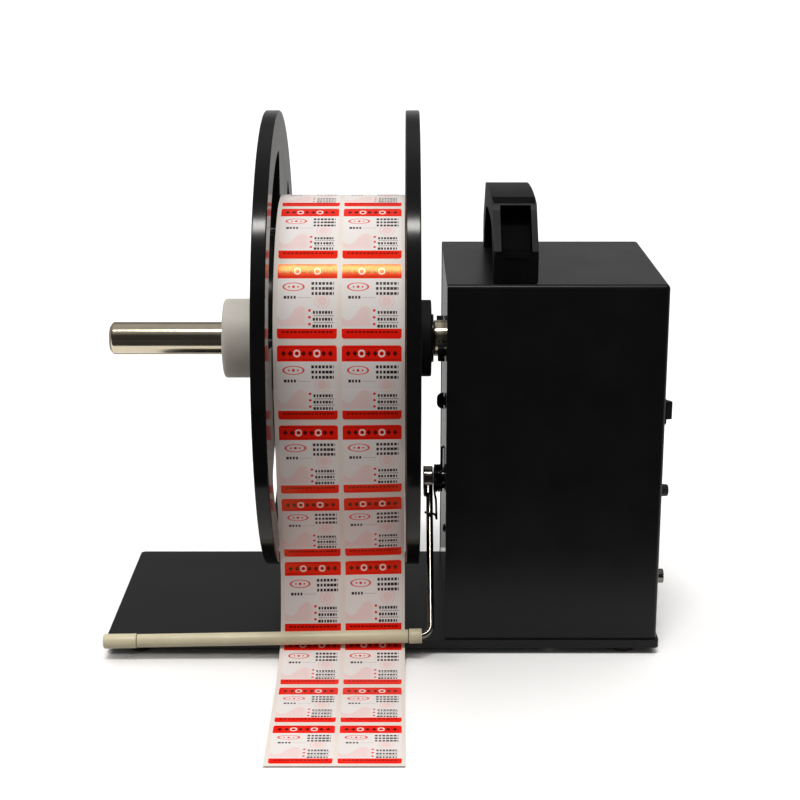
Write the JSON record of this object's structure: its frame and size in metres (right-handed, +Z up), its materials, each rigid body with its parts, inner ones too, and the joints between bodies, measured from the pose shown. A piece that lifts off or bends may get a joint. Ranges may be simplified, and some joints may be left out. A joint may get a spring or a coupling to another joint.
{
  "type": "label rewinder",
  "caption": "Bench-top motor-driven rewinder: windowed flanges on a horizontal spindle hold a label roll, with a sprung tension arm and guide roller and a handled motor housing.",
  "frame": {"origin": "centre of the whole object's footprint, on the surface it stands on", "axes": "+X along the spindle towards the motor housing (the spindle's free end points to -X), +Y to the back, +Z up"},
  "size_m": [0.3134, 0.3174, 0.2878],
  "materials": {
    "black_steel": "black satin powder coat",
    "black_plastic": "moulded black plastic",
    "flange_black": "glossy black",
    "nickel_steel": "polished nickel plate",
    "chrome": "bright chrome plate",
    "steel": "machined steel",
    "zinc_steel": "zinc plated steel",
    "dark_steel": "blackened steel",
    "gear_brass": "machined brass",
    "rubber": "matt black rubber",
    "nylon": "turned natural nylon",
    "ivory_plastic": "ivory plastic tube",
    "label_paper": "coated label paper printed in red",
    "cardboard": "brown cardboard",
    "circuit_board": "green circuit board with parts"
  },
  "bodies": {
    "root": {"base_plate": "black_steel", "rubber_foot_front_left": "rubber", "rubber_foot_front_right": "rubber", "rubber_foot_rear_left": "rubber", "rubber_foot_rear_right": "rubber", "housing_shell": "black_steel", "side_plate": "black_steel", "side_plate_screw_front": "dark_steel", "side_plate_screw_rear": "dark_steel", "shell_screw_front": "zinc_steel", "shell_screw_rear": "zinc_steel", "bracket_screw_front": "zinc_steel", "bracket_screw_rear": "zinc_steel", "handle_screw_front": "zinc_steel", "handle_screw_rear": "zinc_steel", "bearing_screw_front": "dark_steel", "bearing_screw_rear": "dark_steel", "carry_handle": "black_plastic", "bearing_housing": "steel", "spindle_bearing_front": "steel", "spindle_bearing_rear": "steel", "inner_bracket": "steel", "gear_motor": "zinc_steel", "motor_screw_front": "zinc_steel", "motor_screw_rear": "zinc_steel", "arm_bush": "dark_steel", "arm_bush_nut": "zinc_steel", "torsion_spring": "dark_steel", "switch_bracket": "zinc_steel", "switch_screw": "dark_steel", "microswitch": "black_plastic", "board_tray": "black_plastic", "control_board": "circuit_board", "dc_inlet": "steel", "rocker_switch_body": "black_plastic", "speed_potentiometer": "zinc_steel", "label_web": "label_paper"},
    "spindle": {"spindle_shaft": "nickel_steel", "retaining_ring": "steel", "drive_gear": "gear_brass", "fixed_flange": "flange_black", "fixed_hub": "black_plastic", "hub_set_screw": "steel", "stop_washer": "steel", "paper_core": "cardboard", "label_roll": "label_paper"},
    "outer_flange": {"outer_flange": "flange_black", "outer_hub": "nylon", "hub_friction_ring": "rubber"},
    "tension_arm": {"tension_arm_rod": "chrome", "arm_collar": "chrome", "arm_set_screw": "steel", "arm_pivot_pin": "steel", "cam_lever": "black_plastic", "roller_stop_collar": "ivory_plastic", "roller_end_cap": "ivory_plastic"},
    "roller": {"guide_roller": "ivory_plastic"},
    "motor_rotor": {"motor_pinion": "steel"},
    "rocker": {"power_rocker": "black_plastic"},
    "knob": {"speed_knob": "black_plastic"}
  },
  "joints": [
    {"name": "spindle_spin", "type": "hinge", "parent": "root", "child": "spindle", "pos_m": [0, 0.03375, 0.1628], "axis": [1, 0, 0], "continuous": true},
    {"name": "outer_flange_slide", "type": "slide", "parent": "spindle", "child": "outer_flange", "axis": [-1, 0, 0], "range_m": [0, 0.06]},
    {"name": "tension_arm_swing", "type": "hinge", "parent": "root", "child": "tension_arm", "pos_m": [0.0207, 0.03375, 0.0811], "axis": [-1, 0, 0], "range_deg": [0, 38], "stiffness_Nm_per_rad": 0.15, "springref_deg": -28.65, "deforming": ["torsion_spring"]},
    {"name": "roller_spin", "type": "hinge", "parent": "tension_arm", "child": "roller", "pos_m": [0.0147, -0.03405, 0.0133], "axis": [0.9998, 0, 0.0183], "continuous": true},
    {"name": "motor_spin", "type": "hinge", "parent": "root", "child": "motor_rotor", "pos_m": [0.058, 0.03375, 0.1228], "axis": [1, 0, 0], "continuous": true},
    {"name": "power_rocker_tilt", "type": "hinge", "parent": "root", "child": "rocker", "pos_m": [0.14145, -0.00425, 0.1332], "axis": [0, 0, -1], "range_deg": [0, 28]},
    {"name": "speed_knob_turn", "type": "hinge", "parent": "root", "child": "knob", "pos_m": [0.14405, 0.03375, 0.0738], "axis": [1, 0, 0], "range_deg": [0, 300]}
  ],
  "couplings": [
    {"joint": "motor_spin", "follows": "spindle_spin", "ratio": -3}
  ]
}
